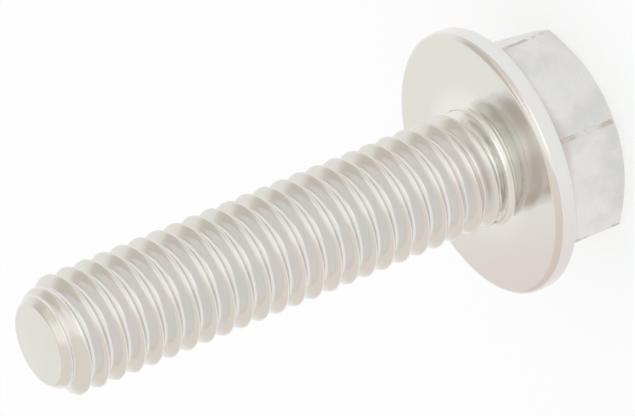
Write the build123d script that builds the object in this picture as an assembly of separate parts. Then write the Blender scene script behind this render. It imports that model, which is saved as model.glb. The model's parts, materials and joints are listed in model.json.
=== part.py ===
"""Hexagon flange bolt, M6 x 25, fully threaded, cold headed in one piece.

The bolt stands on the top of its head: Z = 0 is the head's flat top, and the
shank points up along +Z.  The thread is drawn as a plain shank at the major
diameter, with its neck under the head and its chamfered, slightly domed end.
"""
from build123d import *
from math import radians, sqrt, tan
import os

# ---------------------------------------------------------------- dimensions
# All lengths are in millimetres and all angles in degrees.

# Hexagon head
across_flats = 9.85          # spanner size, flat to opposite flat
head_height = 5.20           # bearing face to the flat top of the head
corner_rounding = 0.25       # radius along the six upright corners
top_flat_diameter = 9.24     # circle that the chamfer leaves on the top
top_chamfer_angle = 32.0     # slope of the chamfer against the flat top
top_edge_rounding = 0.12     # softened edge between the top and its chamfer

# Flange forged in one with the head
flange_diameter = 13.20      # over the rounded rim
rim_thickness = 1.05         # bearing face to where the back starts to slope
rim_front_rounding = 0.36    # rim to bearing face
rim_back_rounding = 0.40     # rim to sloping back
back_slope_angle = 27.0      # slope of the back against the bearing face
root_rounding = 0.22         # fillet where the hexagon rises from the flange

# Threaded shank
thread_diameter = 5.80       # major diameter, over the crests
shank_length = 25.0          # bearing face to the tip
neck_rounding = 0.28         # fillet between the shank and the bearing face
tip_flat_diameter = 4.00     # end face inside the chamfer
tip_chamfer_length = 1.20    # how far the chamfer reaches up the thread
tip_dome_height = 0.16       # how far the end face bulges
tip_edge_rounding = 0.25     # end face to chamfer

# ------------------------------------------------------------ derived places
bearing_z = head_height
end_face_z = bearing_z + shank_length - tip_dome_height
across_corners = across_flats * 2 / sqrt(3)
rim_back_z = bearing_z - rim_thickness


def turned(*outline):
    """Solid of revolution about Z from the straight-sided outline (r, z)."""
    return revolve(Plane.XZ * make_face(Polyline(*outline, close=True)), Axis.Z)


def circles_at(solid, radius, height):
    """The full circular edges of a turned solid at one radius and height."""
    return [
        edge
        for edge in solid.edges().filter_by(GeomType.CIRCLE)
        if abs(edge.radius - radius) < 1e-6 and abs(edge.arc_center.Z - height) < 1e-6
    ]


def hexagon():
    """Six-sided head with rounded corners and a chamfered top.

    It reaches up to the bearing face, so that the flange holds it all round.
    """
    outline = RegularPolygon(across_flats / 2, 6, major_radius=False)
    prism = extrude(fillet(outline.vertices(), corner_rounding), head_height)
    top_flat = top_flat_diameter / 2
    outside = across_corners / 2 + corner_rounding
    chamfer_depth = (outside - top_flat) * tan(radians(top_chamfer_angle))
    envelope = turned(
        (0, 0), (top_flat, 0), (outside, chamfer_depth), (outside, head_height), (0, head_height)
    )
    envelope = fillet(circles_at(envelope, top_flat, 0), top_edge_rounding)
    return prism & envelope


def flange():
    """Round flange: flat bearing face, rounded rim and a sloping back."""
    rim = flange_diameter / 2
    inside_hexagon = across_flats / 4
    back_rise = (rim - inside_hexagon) * tan(radians(back_slope_angle))
    disc = turned(
        (0, bearing_z),
        (rim, bearing_z),
        (rim, rim_back_z),
        (inside_hexagon, rim_back_z - back_rise),
        (0, rim_back_z - back_rise),
    )
    disc = fillet(circles_at(disc, rim, bearing_z), rim_front_rounding)
    return fillet(circles_at(disc, rim, rim_back_z), rim_back_rounding)


def shank():
    """Shank at the thread's major diameter, with its end chamfered and domed.

    It starts inside the head, and the neck fillet is added once it is joined.
    """
    crest = thread_diameter / 2
    tip_flat = tip_flat_diameter / 2
    blank = turned(
        (0, rim_back_z),
        (crest, rim_back_z),
        (crest, end_face_z - tip_chamfer_length),
        (tip_flat, end_face_z),
        (0, end_face_z),
    )
    blank = fillet(circles_at(blank, tip_flat, end_face_z), tip_edge_rounding)
    dome_foot = tip_flat - tip_edge_rounding
    dome_radius = (dome_foot**2 + tip_dome_height**2) / (2 * tip_dome_height)
    ball = Pos(0, 0, end_face_z + tip_dome_height - dome_radius) * Sphere(dome_radius)
    dome = ball & (Pos(0, 0, end_face_z) * Cylinder(dome_foot, 2 * tip_dome_height))
    return blank + dome


def flange_bolt():
    """The whole bolt as one solid, with the fillets between its forms."""
    head = hexagon() + flange()
    lowest_root = rim_back_z - flange_diameter / 2 * tan(radians(back_slope_angle))
    root = [
        edge
        for edge in head.edges()
        if lowest_root < edge.center().Z < rim_back_z
        and edge.bounding_box().size.Z < across_flats / 4
    ]
    head = fillet(root, root_rounding)
    bolt = head + shank()
    return fillet(circles_at(bolt, thread_diameter / 2, bearing_z), neck_rounding)


os.makedirs("parts", exist_ok=True)
export_step(flange_bolt(), "parts/flange_bolt.step")
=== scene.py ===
"""Flange bolt: the looks of a clear zinc plated M6 x 25 bolt, built round its CAD frame."""

import json
from collections import namedtuple
from math import atan2, cos, hypot, pi, radians, sin, tan

import bpy
from mathutils import Matrix, Vector


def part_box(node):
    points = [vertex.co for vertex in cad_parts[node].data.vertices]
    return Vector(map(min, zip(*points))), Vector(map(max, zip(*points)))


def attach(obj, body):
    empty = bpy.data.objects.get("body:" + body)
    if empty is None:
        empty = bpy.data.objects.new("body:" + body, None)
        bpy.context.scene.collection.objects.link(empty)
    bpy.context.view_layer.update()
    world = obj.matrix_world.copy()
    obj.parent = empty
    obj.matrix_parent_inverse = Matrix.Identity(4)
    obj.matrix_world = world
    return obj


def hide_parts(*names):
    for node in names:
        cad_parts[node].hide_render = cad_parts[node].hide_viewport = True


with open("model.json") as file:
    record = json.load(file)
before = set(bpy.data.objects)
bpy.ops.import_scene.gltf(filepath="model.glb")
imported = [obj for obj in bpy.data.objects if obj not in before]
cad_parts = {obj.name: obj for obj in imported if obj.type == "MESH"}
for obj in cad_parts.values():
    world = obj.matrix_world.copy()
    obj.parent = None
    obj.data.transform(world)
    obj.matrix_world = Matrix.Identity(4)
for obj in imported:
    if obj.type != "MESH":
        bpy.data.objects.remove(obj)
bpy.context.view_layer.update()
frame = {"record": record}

bl_info = {
    "name": "Flange bolt",
    "version": (1, 0, 0),
    "blender": (4, 5, 0),
    "location": "View3D > Sidebar > Flange bolt",
    "description": "Rolled thread, forged head and zinc plate of a flange bolt",
    "category": "Add Mesh",
}

MM = 0.001
NODE = "flange_bolt"
MOUNTS = {mount["name"]: mount for mount in frame["record"]["mounts"]}
LOW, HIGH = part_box(NODE)

# Places that the frame gives.
CREST_RADIUS = MOUNTS["thread"]["dims"]["r_mm"] * MM
BEARING_Z = MOUNTS["bearing_face"]["pos_m"][2]
FLANGE_RADIUS = HIGH.y
TIP_Z = HIGH.z

NECK_RADIUS = 0.985 * CREST_RADIUS
COLUMNS = 144  # faces round the bolt, a multiple of the head's six sides
ROWS_PER_TURN = 20  # faces along one pitch of the thread
TIP_SHELL_SHARE = 0.3  # of the chamfer's length, where no thread is rolled
TOUCH = 0.001 * MM  # points closer than this are one point
FLOOR_HALF = 1.0


# ------------------------------------------------------------ settable sizes
def length(name, description, default):
    return bpy.props.FloatProperty(
        name=name, description=description, default=default, min=0.0, precision=5,
        subtype="DISTANCE", unit="LENGTH",
    )


def angle(name, description, degrees):
    return bpy.props.FloatProperty(
        name=name, description=description, default=radians(degrees), subtype="ANGLE", unit="ROTATION"
    )


def share(name, description, default):
    return bpy.props.FloatProperty(
        name=name, description=description, default=default, min=0.0, max=1.0, subtype="FACTOR"
    )


def colour(name, description, default):
    return bpy.props.FloatVectorProperty(
        name=name, description=description, default=default, size=3, min=0.0, max=1.0, subtype="COLOR"
    )


class HeadSizes(bpy.types.PropertyGroup):
    across_flats: length("Across flats", "Spanner size, flat to opposite flat", 9.85 * MM)
    corner_rounding: length("Corner rounding", "Radius along the six upright corners", 0.25 * MM)
    top_flat: length("Top circle radius", "Flat circle that the chamfer leaves on the top", 4.62 * MM)
    top_rounding: length("Top rounding", "Between the flat top and its chamfer", 0.12 * MM)
    chamfer_angle: angle("Chamfer angle", "Slope of the top's chamfer", 32.0)
    chamfer_rounding: length("Chamfer rounding", "Between the chamfer and the six sides", 0.07 * MM)
    root_rounding: length("Root rounding", "Where the six sides rise from the flange", 0.22 * MM)
    rim_thickness: length("Rim thickness", "Bearing face to where the back slopes", 1.05 * MM)
    back_slope: angle("Back slope", "Slope of the flange's back", 27.0)
    rim_back_rounding: length("Rim back rounding", "Rim to sloping back", 0.40 * MM)
    rim_front_rounding: length("Rim front rounding", "Rim to bearing face", 0.36 * MM)
    neck_rounding: length("Neck rounding", "Bearing face to the neck", 0.28 * MM)


class ThreadSizes(bpy.types.PropertyGroup):
    pitch: length("Pitch", "Rise of the thread in one turn", 1.0 * MM)
    groove_depth: length("Groove depth", "Crest to root", 0.57 * MM)
    crest_rounding: length("Crest rounding", "How softly the crest turns into its flanks", 0.30 * MM)
    root_rounding: length("Root rounding", "How softly the root turns into its flanks", 0.08 * MM)
    first_crest: length("First crest", "Height of a crest over the bearing face, on the X side", 0.91 * MM)
    neck_length: length("Neck length", "Plain stretch under the head", 0.20 * MM)
    run_out: length("Run-out", "Length over which the groove deepens", 0.22 * MM)
    tip_radius: length("Tip radius", "End face inside the chamfer", 2.00 * MM)
    tip_chamfer: length("Tip chamfer", "Length of the chamfer", 1.20 * MM)
    tip_dome: length("Tip dome", "How far the end face bulges", 0.16 * MM)
    tip_rounding: length("Tip rounding", "End face to chamfer", 0.25 * MM)
    tip_groove: share("Tip groove", "How deep the groove stays over the chamfer", 0.42)


class PlateFinish(bpy.types.PropertyGroup):
    green_zinc: colour("Green zinc", "Plate where it looks faintly green", (0.80, 0.80, 0.775))
    pink_zinc: colour("Pink zinc", "Plate where it looks faintly pink", (0.825, 0.80, 0.785))
    # Painted shade: this colour darkens the flange towards its -Y side.
    shaded_side_zinc: colour("Shaded side zinc", "Painted shade on one side of the flange", (0.755, 0.70, 0.685))
    # Painted shade: the crevice between the flange's back and the hexagon is drawn darker.
    crevice_shade_zinc: colour("Crevice zinc", "Painted shade in the crevice behind the flange", (0.60, 0.54, 0.50))
    # Painted reflection: dark patches along the hexagon's upright corners.
    corner_reflection_zinc: colour("Corner reflection zinc", "Painted dark reflection on the hexagon's corners", (0.60, 0.54, 0.49))
    # Painted reflection: a bright ring on the bearing face and neck round the shank.
    neck_reflection_zinc: colour("Neck reflection zinc", "Painted reflection round the neck", (0.88, 0.885, 0.865))
    dull_zinc: colour("Dull zinc", "Blotches on the forged flats", (0.72, 0.725, 0.705))
    forged_roughness: share("Forged roughness", "Roughness of the hexagon's flats", 0.27)
    flange_roughness: share("Flange roughness", "Roughness of the flange", 0.13)
    thread_roughness: share("Thread roughness", "Roughness of the rolled thread", 0.23)
    wear: share("Wear", "How much the roughness wanders", 0.12)
    unevenness: share("Unevenness", "How strongly the surface undulates", 0.35)


class StudioSizes(bpy.types.PropertyGroup):
    distance: length("Distance", "Camera to the point it looks at", 459.0 * MM)
    elevation: angle("Elevation", "Camera above the horizontal", 26.92)
    azimuth: angle("Azimuth", "Camera round from the X side", 4.8)
    roll: angle("Roll", "How far the shank is turned from the picture's lower edge", 22.24)
    aim_height: length("Aim height", "Height on the bolt's axis that the camera looks at", 13.95 * MM)
    aim_side: length("Aim side", "How far beside the axis it looks", 0.99 * MM)
    tent_light: colour("Tent light", "Even light that matt surfaces get", (0.97, 0.97, 0.97))
    shadow_relief: share("Shadow relief", "Share of the floor that camera and metal see white", 0.75)
    focal_length: bpy.props.FloatProperty(
        name="Focal length", description="Lens in millimetres on a 36 mm wide sensor", default=554.4
    )


# ------------------------------------------------------------- turned meshes
def rounded_outline(corners, radii, steps, supports):
    """Points (r, z) along a line of corners, each corner rounded by its radius.

    Every stretch also gets a point close to both of its ends, which keeps
    the flats flat under smooth shading.
    """
    points = [Vector(corners[0])]
    start = points[0]
    for i in range(1, len(corners) - 1):
        corner = Vector(corners[i])
        back = (Vector(corners[i - 1]) - corner).normalized()
        ahead = (Vector(corners[i + 1]) - corner).normalized()
        half_turn = (pi - back.angle(ahead)) / 2
        tangent = radii[i] * tan(half_turn)
        arc_start = corner + back * tangent
        arc_end = corner + ahead * tangent
        points += stretch(start, arc_start, supports[i - 1])
        centre = corner + (back + ahead).normalized() * radii[i] / cos(half_turn)
        from_centre = arc_start - centre
        turn = from_centre.angle_signed(arc_end - centre)
        for step in range(steps[i] + 1):
            spin = Matrix.Rotation(-turn * step / steps[i], 2)
            points.append(centre + spin @ from_centre)
        start = arc_end
    points += stretch(start, Vector(corners[-1]), supports[-1])
    points.append(Vector(corners[-1]))
    return points


def stretch(start, end, shares):
    """Points between two ends, at the given shares of the way."""
    return [start.lerp(end, along) for along in shares]


def hexagon_columns(apothem, rounding):
    """(azimuth, radius) of each column where it meets the rounded hexagon."""
    per_side = COLUMNS // 6
    arc_steps = 6
    flat_steps = per_side - arc_steps
    reach = (apothem - rounding) / cos(pi / 6)
    half_flat = reach * sin(pi / 6)
    support = 0.02
    columns = []
    for side in range(6):
        corner_at = side * pi / 3
        for step in range(arc_steps):
            beta = corner_at - pi / 6 + step / arc_steps * pi / 3
            x = reach * cos(corner_at) + rounding * cos(beta)
            y = reach * sin(corner_at) + rounding * sin(beta)
            columns.append((atan2(y, x), hypot(x, y)))
        flat_at = corner_at + pi / 6
        shares = [0.0, support] + [
            support + (1 - 2 * support) * k / (flat_steps - 2) for k in range(1, flat_steps - 1)
        ]
        for s in shares:
            along = half_flat * (2 * s - 1)
            x = apothem * cos(flat_at) - along * sin(flat_at)
            y = apothem * sin(flat_at) + along * cos(flat_at)
            columns.append((atan2(y, x), hypot(x, y)))
    return columns


def turned_shell(name, columns, outline_of, azimuth_of, pole_up):
    """Closes outlines into a shell round Z; each starts at one shared pole.

    The last ring stays open for the thread to join.
    """
    count = len(columns)
    outlines = [outline_of(i) for i in range(count)]
    pole = outlines[0][0]
    vertices = [(0.0, 0.0, pole.y)]
    rings = len(outlines[0])
    for k in range(1, rings):
        for i in range(count):
            r, z = outlines[i][k]
            psi = azimuth_of(i, r, z)
            vertices.append((r * cos(psi), r * sin(psi), z))
    faces = []
    for i in range(count):
        j = (i + 1) % count
        faces.append((0, 1 + i, 1 + j))
        for k in range(rings - 2):
            a, b = 1 + k * count, 1 + (k + 1) * count
            faces.append((a + i, b + i, b + j, a + j))
    if not pole_up:
        faces = [face[::-1] for face in faces]
    mesh = bpy.data.meshes.new(name)
    mesh.from_pydata(vertices, [], faces)
    mesh.validate()
    return mesh


def uniform_azimuth(i):
    """Columns are even round the shank; the fourth faces the X side's corner."""
    return 2 * pi * (i - 3) / COLUMNS


def smooth_step(low, high, value):
    t = min(max((value - low) / (high - low), 0.0), 1.0)
    return t * t * (3 - 2 * t)


def head_mesh(sizes, neck_z):
    """Top of the head, hexagon, flange and neck, as one open shell."""
    columns = hexagon_columns(sizes.across_flats / 2, sizes.corner_rounding)
    rim_back_z = BEARING_Z - sizes.rim_thickness
    face_edge = FLANGE_RADIUS - sizes.rim_front_rounding
    near_ends = (0.03, 0.5, 0.97)
    even_inside = 1.2 * NECK_RADIUS

    def outline(i):
        radius = columns[i][1]
        chamfer_z = (radius - sizes.top_flat) * tan(sizes.chamfer_angle)
        root_z = rim_back_z - (FLANGE_RADIUS - radius) * tan(sizes.back_slope)
        corners = [
            (0.0, LOW.z),
            (sizes.top_flat, LOW.z),
            (radius, LOW.z + chamfer_z),
            (radius, root_z),
            (FLANGE_RADIUS, rim_back_z),
            (FLANGE_RADIUS, BEARING_Z),
            (NECK_RADIUS, BEARING_Z),
            (NECK_RADIUS, neck_z),
        ]
        radii = [
            0.0,
            sizes.top_rounding,
            sizes.chamfer_rounding,
            sizes.root_rounding,
            sizes.rim_back_rounding,
            sizes.rim_front_rounding,
            sizes.neck_rounding,
            0.0,
        ]
        steps = [0, 4, 4, 6, 8, 8, 7, 0]
        supports = [
            (0.3, 0.6, 0.97),
            near_ends,
            (0.03, 0.35, 0.65, 0.97),
            near_ends,
            near_ends,
            (0.02, 0.2, 0.4, 0.6, 0.8, 0.98),
            (),
        ]
        return rounded_outline(corners, radii, steps, supports)

    def azimuth(i, r, z):
        even = 0.0
        if z > BEARING_Z - TOUCH:
            even = smooth_step(0.0, 1.0, (face_edge - r) / (face_edge - even_inside))
        hexagon = columns[i][0]
        shift = (uniform_azimuth(i) - hexagon + pi) % (2 * pi) - pi
        return hexagon + even * shift

    return turned_shell("head", columns, outline, azimuth, pole_up=False)


def chamfer_places(sizes):
    """Height of the end face, slope of the chamfer, and height where the thread ends."""
    end_face_z = TIP_Z - sizes.tip_dome
    slope = (CREST_RADIUS - sizes.tip_radius) / sizes.tip_chamfer
    return end_face_z, slope, end_face_z - TIP_SHELL_SHARE * sizes.tip_chamfer


def tip_mesh(sizes):
    """Domed end face and the first of the chamfer, as one open shell."""
    end_face_z, slope, thread_end_z = chamfer_places(sizes)
    foot = sizes.tip_radius - sizes.tip_rounding
    rim_radius = sizes.tip_radius + (end_face_z - thread_end_z) * slope

    def outline(i):
        points = rounded_outline(
            [(0.0, end_face_z), (sizes.tip_radius, end_face_z), (rim_radius, thread_end_z)],
            [0.0, sizes.tip_rounding, 0.0],
            [0, 6, 0],
            [(0.2, 0.4, 0.6, 0.8, 0.97), (0.5,)],
        )
        for point in points:
            if point.x < foot:
                point.y += sizes.tip_dome * (1 - (point.x / foot) ** 2)
        return points

    def azimuth(i, r, z):
        return uniform_azimuth(i)

    return turned_shell("tip", range(COLUMNS), outline, azimuth, pole_up=True)


# ------------------------------------------------------------ rolled thread
class Sums:
    """Writes arithmetic as math nodes in one tree."""

    def __init__(self, tree):
        self.tree = tree

    def __call__(self, operation, *terms):
        node = self.tree.nodes.new("ShaderNodeMath")
        node.operation = operation
        self.wire(node, terms)
        return node.outputs[0]

    def smooth_step(self, value, low, high):
        node = self.tree.nodes.new("ShaderNodeMapRange")
        node.interpolation_type = "SMOOTHSTEP"
        self.wire(node, (value, low, high, 0.0, 1.0))
        return node.outputs["Result"]

    def window(self, value, low, high, softness):
        """1 between low and high, fading to 0 over the softness on both sides."""
        rise = self.smooth_step(value, low - softness, low + softness)
        fall = self.smooth_step(value, high - softness, high + softness)
        return self("SUBTRACT", rise, fall)

    def mix(self, amount, a, b):
        """Number a where the amount is 0, number b where it is 1."""
        return self("ADD", a, self("MULTIPLY", amount, self("SUBTRACT", b, a)))

    def wire(self, node, terms):
        for socket, term in zip(node.inputs, terms):
            if isinstance(term, bpy.types.NodeSocket):
                self.tree.links.new(term, socket)
            else:
                socket.default_value = term


THREAD_INPUTS = {
    "Pitch": "NodeSocketFloat",
    "Crest radius": "NodeSocketFloat",
    "Groove depth": "NodeSocketFloat",
    "Crest rounding": "NodeSocketFloat",
    "Root rounding": "NodeSocketFloat",
    "First crest": "NodeSocketFloat",
    "Neck radius": "NodeSocketFloat",
    "Neck end": "NodeSocketFloat",
    "Run-out": "NodeSocketFloat",
    "End face": "NodeSocketFloat",
    "Tip radius": "NodeSocketFloat",
    "Chamfer slope": "NodeSocketFloat",
    "Thread end": "NodeSocketFloat",
    "Tip groove": "NodeSocketFloat",
    "Turns": "NodeSocketInt",
    "Plate": "NodeSocketMaterial",
}


def thread_tree():
    """Nodes that roll the thread between the head's neck and the tip.

    The skin is a grid whose rows climb one pitch in each turn, so a row runs
    along the crest and the next rows down the flanks.  Rows that would pass
    the neck or the tip stop there, and merging joins them to both shells.
    """
    tree = bpy.data.node_groups.new("Rolled thread", "GeometryNodeTree")
    tree.is_modifier = True
    tree.interface.new_socket("Geometry", in_out="INPUT", socket_type="NodeSocketGeometry")
    for name, kind in THREAD_INPUTS.items():
        tree.interface.new_socket(name, in_out="INPUT", socket_type=kind)
    tree.interface.new_socket("Geometry", in_out="OUTPUT", socket_type="NodeSocketGeometry")
    given = tree.nodes.new("NodeGroupInput").outputs
    link = tree.links.new
    sums = Sums(tree)

    grid = tree.nodes.new("GeometryNodeMeshGrid")
    grid.inputs["Size X"].default_value = 1.0
    grid.inputs["Size Y"].default_value = 1.0
    link(sums("MULTIPLY_ADD", given["Turns"], ROWS_PER_TURN, 1), grid.inputs["Vertices X"])
    grid.inputs["Vertices Y"].default_value = COLUMNS + 1
    place = tree.nodes.new("GeometryNodeInputPosition")
    split = tree.nodes.new("ShaderNodeSeparateXYZ")
    link(place.outputs[0], split.inputs[0])
    along = sums("MULTIPLY", sums("ADD", split.outputs["X"], 0.5), given["Turns"])
    around = sums("ADD", split.outputs["Y"], 0.5)
    azimuth = sums("ADD", sums("MULTIPLY", around, 2 * pi), uniform_azimuth(0))

    # Height of each point.  The first row starts two turns under the first crest.
    climb = sums("SUBTRACT", sums("ADD", along, sums("DIVIDE", azimuth, 2 * pi)), 2.0)
    height = sums("MULTIPLY_ADD", climb, given["Pitch"], given["First crest"])
    z = sums("MINIMUM", sums("MAXIMUM", height, given["Neck end"]), given["Thread end"])

    # Distance along the axis from the nearest crest, and the profile there.
    turns_up = sums("DIVIDE", sums("SUBTRACT", z, given["First crest"]), given["Pitch"])
    phase = sums("SUBTRACT", turns_up, sums("DIVIDE", azimuth, 2 * pi))
    from_crest = sums("ABSOLUTE", sums("SUBTRACT", sums("FRACT", sums("ADD", phase, 0.5)), 0.5))
    sharp = sums("MULTIPLY_ADD", given["Pitch"], cos(pi / 6) / 8, given["Crest radius"])
    drop = sums("MULTIPLY", sums("MULTIPLY", from_crest, given["Pitch"]), tan(pi / 3))
    flank = sums("SUBTRACT", sharp, drop)
    root_radius = sums("SUBTRACT", given["Crest radius"], given["Groove depth"])
    crest = sums("SMOOTH_MIN", flank, given["Crest radius"], given["Crest rounding"])
    profile = sums("SMOOTH_MAX", crest, root_radius, given["Root rounding"])

    # The groove fades into the neck, and runs on more faintly over the chamfer.
    run_in = sums.smooth_step(z, given["Neck end"], sums("ADD", given["Neck end"], given["Run-out"]))
    body = sums.mix(run_in, given["Neck radius"], profile)
    to_end = sums("SUBTRACT", given["End face"], z)
    chamfer = sums("MULTIPLY_ADD", to_end, given["Chamfer slope"], given["Tip radius"])
    before_end = sums("MULTIPLY_ADD", given["Pitch"], -0.25, given["Thread end"])
    fading = sums("MULTIPLY", given["Tip groove"], sums.smooth_step(z, given["Thread end"], before_end))
    groove = sums("SUBTRACT", given["Crest radius"], profile)
    grooved_chamfer = sums("SUBTRACT", chamfer, sums("MULTIPLY", fading, groove))
    radius = sums("MINIMUM", body, grooved_chamfer)

    shape = tree.nodes.new("ShaderNodeCombineXYZ")
    link(sums("MULTIPLY", radius, sums("COSINE", azimuth)), shape.inputs["X"])
    link(sums("MULTIPLY", radius, sums("SINE", azimuth)), shape.inputs["Y"])
    link(z, shape.inputs["Z"])
    rolled = tree.nodes.new("GeometryNodeSetPosition")
    link(grid.outputs["Mesh"], rolled.inputs["Geometry"])
    link(shape.outputs[0], rolled.inputs["Position"])
    outward = tree.nodes.new("GeometryNodeFlipFaces")
    link(rolled.outputs["Geometry"], outward.inputs["Mesh"])

    joined = tree.nodes.new("GeometryNodeJoinGeometry")
    link(given["Geometry"], joined.inputs[0])
    link(outward.outputs[0], joined.inputs[0])
    merged = tree.nodes.new("GeometryNodeMergeByDistance")
    merged.inputs["Distance"].default_value = TOUCH
    link(joined.outputs[0], merged.inputs["Geometry"])
    smooth = tree.nodes.new("GeometryNodeSetShadeSmooth")
    link(merged.outputs[0], smooth.inputs["Geometry"])
    real = tree.nodes.new("GeometryNodeRealizeInstances")
    link(smooth.outputs[0], real.inputs["Geometry"])
    plated = tree.nodes.new("GeometryNodeSetMaterial")
    link(real.outputs[0], plated.inputs["Geometry"])
    link(given["Plate"], plated.inputs["Material"])
    result = tree.nodes.new("NodeGroupOutput")
    link(plated.outputs[0], result.inputs[0])
    return tree


def set_inputs(modifier, values):
    """Sets a node modifier's inputs, which go by their sockets' identifiers."""
    for socket in modifier.node_group.interface.items_tree:
        if socket.in_out == "INPUT" and socket.name in values:
            modifier[socket.identifier] = values[socket.name]


def as_plain_mesh(source, name):
    """The evaluated object as a new object with a plain mesh; the source goes."""
    bpy.context.view_layer.update()
    evaluated = source.evaluated_get(bpy.context.evaluated_depsgraph_get())
    mesh = bpy.data.meshes.new_from_object(evaluated)
    mesh.name = name
    bpy.data.objects.remove(source)
    piece = bpy.data.objects.new(name, mesh)
    bpy.context.scene.collection.objects.link(piece)
    return piece


# ------------------------------------------------------------------- finish
# Blotches in a metre, for each kind of unevenness and for the patches of painted reflection on the
# corners.
WEAR_SCALE = 900.0
TINT_SCALE = 330.0
CLOUD_SCALE = 620.0
CORNER_PATCH_SCALE = 1100.0
PIT_SCALE = 800.0

Zones = namedtuple("Zones", "height side from_axis smooth rolled forged")


def opaque(paint):
    return (*paint, 1.0)


def mixed(tree, amount, a, b):
    """Colour a where the amount is 0, colour b where it is 1."""
    node = tree.nodes.new("ShaderNodeMix")
    node.data_type = "RGBA"
    for socket, term in ((node.inputs[0], amount), (node.inputs[6], a), (node.inputs[7], b)):
        if isinstance(term, bpy.types.NodeSocket):
            tree.links.new(term, socket)
        else:
            socket.default_value = term
    return node.outputs[2]


def noise(tree, place, scale, detail):
    """Soft blotches, about 1 / scale metres across."""
    node = tree.nodes.new("ShaderNodeTexNoise")
    node.inputs["Scale"].default_value = scale
    node.inputs["Detail"].default_value = detail
    tree.links.new(place, node.inputs["Vector"])
    return node.outputs["Fac"]


def plate_zones(sums, place):
    """Where each point lies, and which of the three grades of surface it has."""
    apart = sums.tree.nodes.new("ShaderNodeSeparateXYZ")
    sums.tree.links.new(place, apart.inputs[0])
    x, y, height = apart.outputs
    from_axis = sums("SQRT", sums("ADD", sums("POWER", x, 2.0), sums("POWER", y, 2.0)))
    forged_end = BEARING_Z - 1.3 * MM
    smooth = sums.smooth_step(height, forged_end, forged_end + 0.3 * MM)
    rolled = sums.smooth_step(height, BEARING_Z + 0.1 * MM, BEARING_Z + 0.6 * MM)
    forged = sums("SUBTRACT", 1.0, smooth)
    return Zones(height, y, from_axis, smooth, rolled, forged)


def plate_roughness(sums, place, zones, finish):
    """Dull on the forged flats, mirror-like on the flange, satin on the thread."""
    roughness = sums.mix(zones.smooth, finish.forged_roughness, finish.flange_roughness)
    roughness = sums.mix(zones.rolled, roughness, finish.thread_roughness)
    scuffs = sums("SUBTRACT", noise(sums.tree, place, WEAR_SCALE, 3.0), 0.5)
    return sums("ADD", roughness, sums("MULTIPLY", scuffs, finish.wear))


def plate_tint(sums, place, zones, finish, head):
    """Faint green and pink with blotches, and painted light: shade in the crevice behind the flange and on
    one side of the flange, a dark reflection on the corners and a bright one round the neck.
    """
    tree = sums.tree
    blotch = sums.smooth_step(noise(tree, place, TINT_SCALE, 4.0), 0.36, 0.64)
    tint = mixed(tree, blotch, opaque(finish.green_zinc), opaque(finish.pink_zinc))

    clouded = sums.smooth_step(noise(tree, place, CLOUD_SCALE, 6.0), 0.42, 0.66)
    cloud = sums("MULTIPLY", zones.forged, clouded)
    tint = mixed(tree, cloud, tint, opaque(finish.dull_zinc))

    # Painted shade in the crevice behind the flange, on the forged part only.
    behind_flange = sums.smooth_step(zones.height, 2.9 * MM, 3.5 * MM)
    crevice = sums("MULTIPLY", sums("MULTIPLY", zones.forged, behind_flange), 0.7)
    tint = mixed(tree, crevice, tint, opaque(finish.crevice_shade_zinc))

    # Painted dark reflection, in patches, along the hexagon's rounded corners.
    sharp_corner = head.across_flats / 2 / cos(pi / 6)
    corner = sharp_corner - head.corner_rounding * (1 / cos(pi / 6) - 1)
    on_corner = sums.smooth_step(zones.from_axis, corner - 0.05 * MM, corner - 0.01 * MM)
    patches = sums.smooth_step(noise(tree, place, CORNER_PATCH_SCALE, 3.0), 0.42, 0.56)
    corner_reflection = sums("MULTIPLY", sums("MULTIPLY", zones.forged, on_corner), patches)
    tint = mixed(tree, corner_reflection, tint, opaque(finish.corner_reflection_zinc))

    # Painted reflection: brighter round the neck, on the bearing face and the neck's rounding.
    near_neck = sums.smooth_step(zones.from_axis, 4.3 * MM, 3.1 * MM)
    under_thread = sums.smooth_step(zones.height, BEARING_Z + 1.1 * MM, BEARING_Z + 0.4 * MM)
    neck_reflection = sums("MULTIPLY", sums("MULTIPLY", near_neck, under_thread), zones.smooth)
    tint = mixed(tree, neck_reflection, tint, opaque(finish.neck_reflection_zinc))

    # Painted shade: the flange, not the thread, drawn darker towards its -Y side.
    shade_side = sums.smooth_step(zones.side, -1.0 * MM, -6.0 * MM)
    flange_side_shade = sums("MULTIPLY", shade_side, sums("SUBTRACT", zones.smooth, zones.rolled))
    return mixed(tree, flange_side_shade, tint, opaque(finish.shaded_side_zinc))


def plate_relief(sums, place, zones, finish):
    """Pits on the forged flats, fainter on the thread and faintest on the flange."""
    smooth_or_rolled = sums.mix(zones.rolled, 0.1, 0.6)
    depth = sums.mix(zones.forged, smooth_or_rolled, 1.0)
    bump = sums.tree.nodes.new("ShaderNodeBump")
    bump.inputs["Strength"].default_value = finish.unevenness
    bump.inputs["Distance"].default_value = 0.1 * MM
    pits = sums("MULTIPLY", noise(sums.tree, place, PIT_SCALE, 5.0), depth)
    sums.tree.links.new(pits, bump.inputs["Height"])
    return bump.outputs["Normal"]


def zinc_plate(finish, head):
    """Clear zinc plate over the whole bolt."""
    material = bpy.data.materials.new("clear_zinc_plate")
    material.use_nodes = True
    tree = material.node_tree
    sums = Sums(tree)
    place = tree.nodes.new("ShaderNodeTexCoord").outputs["Object"]
    zones = plate_zones(sums, place)
    metal = tree.nodes["Principled BSDF"].inputs
    metal["Metallic"].default_value = 1.0
    tree.links.new(plate_roughness(sums, place, zones, finish), metal["Roughness"])
    tree.links.new(plate_tint(sums, place, zones, finish, head), metal["Base Color"])
    tree.links.new(plate_relief(sums, place, zones, finish), metal["Normal"])
    return material


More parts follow.
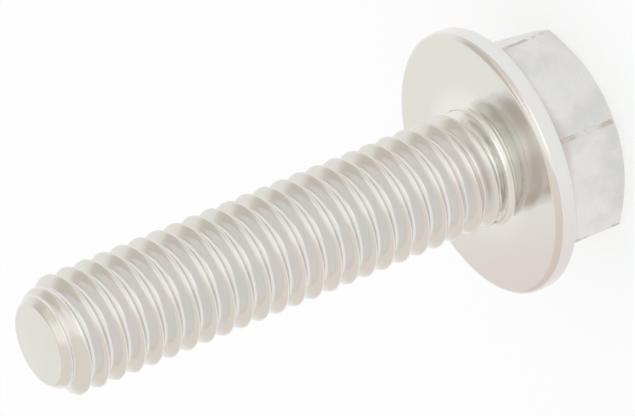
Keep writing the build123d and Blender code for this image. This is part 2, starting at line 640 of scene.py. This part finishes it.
# ---------------------------------------------------------------- operators
class FLANGE_BOLT_OT_forge_head(bpy.types.Operator):
    """Forge the head, flange and neck, and the domed tip"""

    bl_idname = "flange_bolt.forge_head"
    bl_label = "Forge the head"

    def execute(self, context):
        thread = context.scene.bolt_thread
        head = head_mesh(context.scene.bolt_head, BEARING_Z + thread.neck_length)
        tip = tip_mesh(thread)
        for mesh in (head, tip):
            shell = bpy.data.objects.new(mesh.name, mesh)
            context.scene.collection.objects.link(shell)
        shells = [bpy.data.objects["head"], bpy.data.objects["tip"]]
        with context.temp_override(active_object=shells[0], selected_editable_objects=shells):
            bpy.ops.object.join()
        return {"FINISHED"}


class FLANGE_BOLT_OT_roll_thread(bpy.types.Operator):
    """Roll the thread between the neck and the tip, and plate the bolt"""

    bl_idname = "flange_bolt.roll_thread"
    bl_label = "Roll the thread"

    def execute(self, context):
        thread = context.scene.bolt_thread
        shell = bpy.data.objects["head"]
        modifier = shell.modifiers.new("Rolled thread", "NODES")
        modifier.node_group = thread_tree()
        end_face_z, slope, thread_end_z = chamfer_places(thread)
        turns = int((thread_end_z - BEARING_Z - thread.first_crest) / thread.pitch) + 4
        set_inputs(modifier, {
            "Pitch": thread.pitch,
            "Crest radius": CREST_RADIUS,
            "Groove depth": thread.groove_depth,
            "Crest rounding": thread.crest_rounding,
            "Root rounding": thread.root_rounding,
            "First crest": BEARING_Z + thread.first_crest,
            "Neck radius": NECK_RADIUS,
            "Neck end": BEARING_Z + thread.neck_length,
            "Run-out": thread.run_out,
            "End face": end_face_z,
            "Tip radius": thread.tip_radius,
            "Chamfer slope": slope,
            "Thread end": thread_end_z,
            "Tip groove": thread.tip_groove,
            "Turns": turns,
            "Plate": zinc_plate(context.scene.bolt_plate, context.scene.bolt_head),
        })
        bolt = as_plain_mesh(shell, "bolt")
        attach(bolt, "root")
        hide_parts(NODE)
        return {"FINISHED"}


def camera_axes(studio):
    """Right, up and back of the camera, and the level direction to the right of the axis."""
    elevation, azimuth, roll = studio.elevation, studio.azimuth, studio.roll
    outward = Vector((cos(azimuth), sin(azimuth), 0.0))
    axis = Vector((0.0, 0.0, 1.0))
    back = outward * cos(elevation) + axis * sin(elevation)
    shank = (axis - back * back.dot(axis)).normalized()
    side = axis.cross(outward)
    right = -cos(roll) * shank - sin(roll) * side
    up = -sin(roll) * shank + cos(roll) * side
    return right, up, back, side


# Walls of the light tent as the camera and the metal see them, each painted over
# the ones before it.  Their edges are degrees round to the right of the camera
# and degrees above it, and fade over the softness on both sides.
Wall = namedtuple("Wall", "name left right bottom top softness paint")
ROUND = 400  # past every direction, so that the wall has no edge there
OVER = 200  # past the highest direction
TENT_WALLS = (
    Wall("right of the table", 62, 150, -62, 0, 10, (0.95, 0.945, 0.92)),
    Wall("backdrop", -ROUND, ROUND, -20, OVER, 8, (1.02, 0.98, 0.94)),
    Wall("doorway behind", 138, 166, -30, 70, 8, (0.50, 0.47, 0.43)),
    Wall("left backdrop", -168, -108, -32, 50, 7, (0.92, 0.91, 0.87)),
    Wall("left side", -106, -64, -12, 70, 7, (0.64, 0.59, 0.53)),
    Wall("ceiling", -130, 64, 42, OVER, 9, (0.75, 0.715, 0.65)),
    Wall("ceiling on the right", 30, 66, 42, 80, 10, (0.76, 0.75, 0.69)),
    Wall("right side", 54, 86, -20, 52, 7, (0.62, 0.56, 0.50)),
    Wall("soft box", -58, 56, -22, 38, 6, (1.02, 0.99, 0.94)),
    Wall("shaded corner of the soft box", -64, -16, 16, 46, 7, (0.80, 0.755, 0.69)),
    Wall("lamp behind the soft box", 6, 52, -4, 34, 8, (1.45, 1.43, 1.38)),
)
TENT_TABLE = (0.83, 0.775, 0.72)


def tent_colour(tree, studio):
    """Colour of the light tent in each direction round the bolt."""
    sums = Sums(tree)
    coordinates = tree.nodes.new("ShaderNodeTexCoord")
    right, up, back, _ = camera_axes(studio)
    parts = []
    for direction in (right, up, back):
        dot = tree.nodes.new("ShaderNodeVectorMath")
        dot.operation = "DOT_PRODUCT"
        dot.inputs[1].default_value = direction
        tree.links.new(coordinates.outputs["Generated"], dot.inputs[0])
        parts.append(dot.outputs["Value"])
    round_to_right = sums("DEGREES", sums("ARCTAN2", parts[0], parts[2]))
    above = sums("DEGREES", sums("ARCSINE", parts[1]))
    painted = opaque(TENT_TABLE)
    for wall in TENT_WALLS:
        across = sums.window(round_to_right, wall.left, wall.right, wall.softness)
        upward = sums.window(above, wall.bottom, wall.top, wall.softness)
        painted = mixed(tree, sums("MULTIPLY", across, upward), painted, opaque(wall.paint))
    return painted


def seen_directly(tree):
    """1 for rays from the camera, mirrored by metal or passed on by glass, else 0."""
    rays = tree.nodes.new("ShaderNodeLightPath").outputs
    sums = Sums(tree)
    mirrored = sums("MAXIMUM", rays["Is Glossy Ray"], rays["Is Transmission Ray"])
    return sums("MAXIMUM", rays["Is Camera Ray"], mirrored)


class FLANGE_BOLT_OT_light_stage(bpy.types.Operator):
    """Lay the floor, light the stage and set the camera"""

    bl_idname = "flange_bolt.light_stage"
    bl_label = "Light the stage"

    def execute(self, context):
        scene = context.scene
        studio = scene.bolt_studio
        scene.view_settings.view_transform = "Standard"
        self.floor(scene, studio)
        self.world(scene, studio)
        self.camera(scene, studio)
        return {"FINISHED"}

    def floor(self, scene, studio):
        mesh = bpy.data.meshes.new("floor")
        turns = ((-1, -1), (1, -1), (1, 1), (-1, 1))
        corners = [(x * FLOOR_HALF, y * FLOOR_HALF, 0.0) for x, y in turns]
        mesh.from_pydata(corners, [], [(0, 1, 2, 3)])
        floor = bpy.data.objects.new("floor", mesh)
        scene.collection.objects.link(floor)
        material = bpy.data.materials.new("pale_floor")
        material.use_nodes = True
        tree = material.node_tree
        paper = tree.nodes["Principled BSDF"]
        paper.inputs["Base Color"].default_value = opaque((0.97, 0.97, 0.97))
        paper.inputs["Roughness"].default_value = 1.0
        glow = tree.nodes.new("ShaderNodeEmission")
        share_of_glow = Sums(tree)("MULTIPLY", seen_directly(tree), studio.shadow_relief)
        blend = tree.nodes.new("ShaderNodeMixShader")
        tree.links.new(share_of_glow, blend.inputs[0])
        tree.links.new(paper.outputs[0], blend.inputs[1])
        tree.links.new(glow.outputs[0], blend.inputs[2])
        tree.links.new(blend.outputs[0], tree.nodes["Material Output"].inputs["Surface"])
        mesh.materials.append(material)

    def world(self, scene, studio):
        world = bpy.data.worlds.new("light_tent")
        scene.world = world
        world.use_nodes = True
        tree = world.node_tree
        tent = tent_colour(tree, studio)
        shown = mixed(tree, seen_directly(tree), opaque(studio.tent_light), tent)
        tree.links.new(shown, tree.nodes["Background"].inputs["Color"])

    def camera(self, scene, studio):
        data = bpy.data.cameras.new("camera")
        data.lens = studio.focal_length
        data.sensor_width = 36.0
        data.clip_start = 0.01
        data.clip_end = 10.0
        camera = bpy.data.objects.new("camera", data)
        scene.collection.objects.link(camera)
        right, up, back, side = camera_axes(studio)
        aim = Vector((0.0, 0.0, studio.aim_height)) + studio.aim_side * side
        turn = Matrix((right, up, back)).transposed()
        camera.matrix_world = Matrix.Translation(aim + studio.distance * back) @ turn.to_4x4()
        scene.camera = camera


class FLANGE_BOLT_PT_sidebar(bpy.types.Panel):
    """Sizes and steps of the flange bolt"""

    bl_idname = "FLANGE_BOLT_PT_sidebar"
    bl_label = "Flange bolt"
    bl_space_type = "VIEW_3D"
    bl_region_type = "UI"
    bl_category = "Flange bolt"

    def draw(self, context):
        for group in PROPERTIES:
            box = self.layout.box()
            for name in PROPERTIES[group].__annotations__:
                box.prop(getattr(context.scene, group), name)
        for operator in OPERATORS:
            self.layout.operator(operator.bl_idname)


PROPERTIES = {
    "bolt_head": HeadSizes,
    "bolt_thread": ThreadSizes,
    "bolt_plate": PlateFinish,
    "bolt_studio": StudioSizes,
}
OPERATORS = (
    FLANGE_BOLT_OT_forge_head,
    FLANGE_BOLT_OT_roll_thread,
    FLANGE_BOLT_OT_light_stage,
)


def register():
    for group, kind in PROPERTIES.items():
        bpy.utils.register_class(kind)
        setattr(bpy.types.Scene, group, bpy.props.PointerProperty(type=kind))
    for kind in (*OPERATORS, FLANGE_BOLT_PT_sidebar):
        bpy.utils.register_class(kind)


def unregister():
    for kind in (FLANGE_BOLT_PT_sidebar, *reversed(OPERATORS)):
        bpy.utils.unregister_class(kind)
    for group, kind in reversed(PROPERTIES.items()):
        delattr(bpy.types.Scene, group)
        bpy.utils.unregister_class(kind)


def main():
    """Builds the bolt and its stage."""
    register()
    bpy.ops.flange_bolt.forge_head()
    bpy.ops.flange_bolt.roll_thread()
    bpy.ops.flange_bolt.light_stage()


if __name__ == "__main__":
    main()
